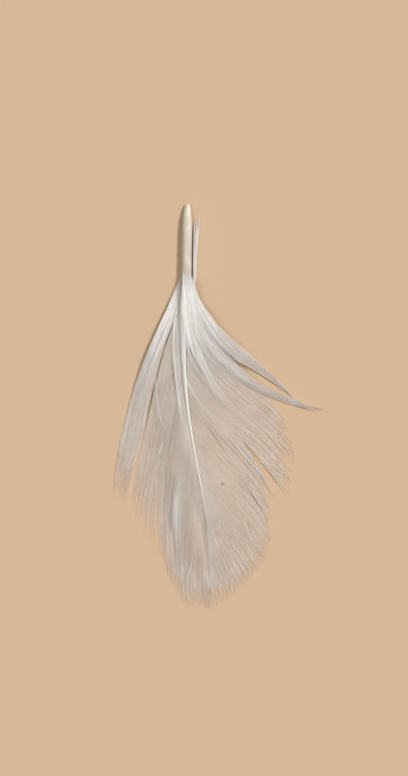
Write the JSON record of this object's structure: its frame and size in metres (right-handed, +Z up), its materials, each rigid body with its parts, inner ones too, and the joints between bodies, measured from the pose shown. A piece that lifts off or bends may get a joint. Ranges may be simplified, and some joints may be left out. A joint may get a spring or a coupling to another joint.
{
  "type": "white body feather",
  "caption": "Small white body feather lying face up: hollow quill, thin curved shaft, and soft ragged vanes parted into locks, with a few barbs folded back along the quill.",
  "frame": {"origin": "centre of the feather's footprint, on the surface it lies on", "axes": "+Z up out of the feather's upper face; +Y along the feather towards the end of the quill, so the tip is at -Y; X across the vanes, the wispy right one at +X"},
  "size_m": [0.0395, 0.076, 0.0027],
  "materials": {
    "quill": "satin",
    "vane": "matte",
    "tuft": "matte"
  },
  "bodies": {
    "root": {"quill": "quill", "left_vane": "vane", "right_vane": "vane", "folded_tuft": "tuft"}
  },
  "joints": []
}
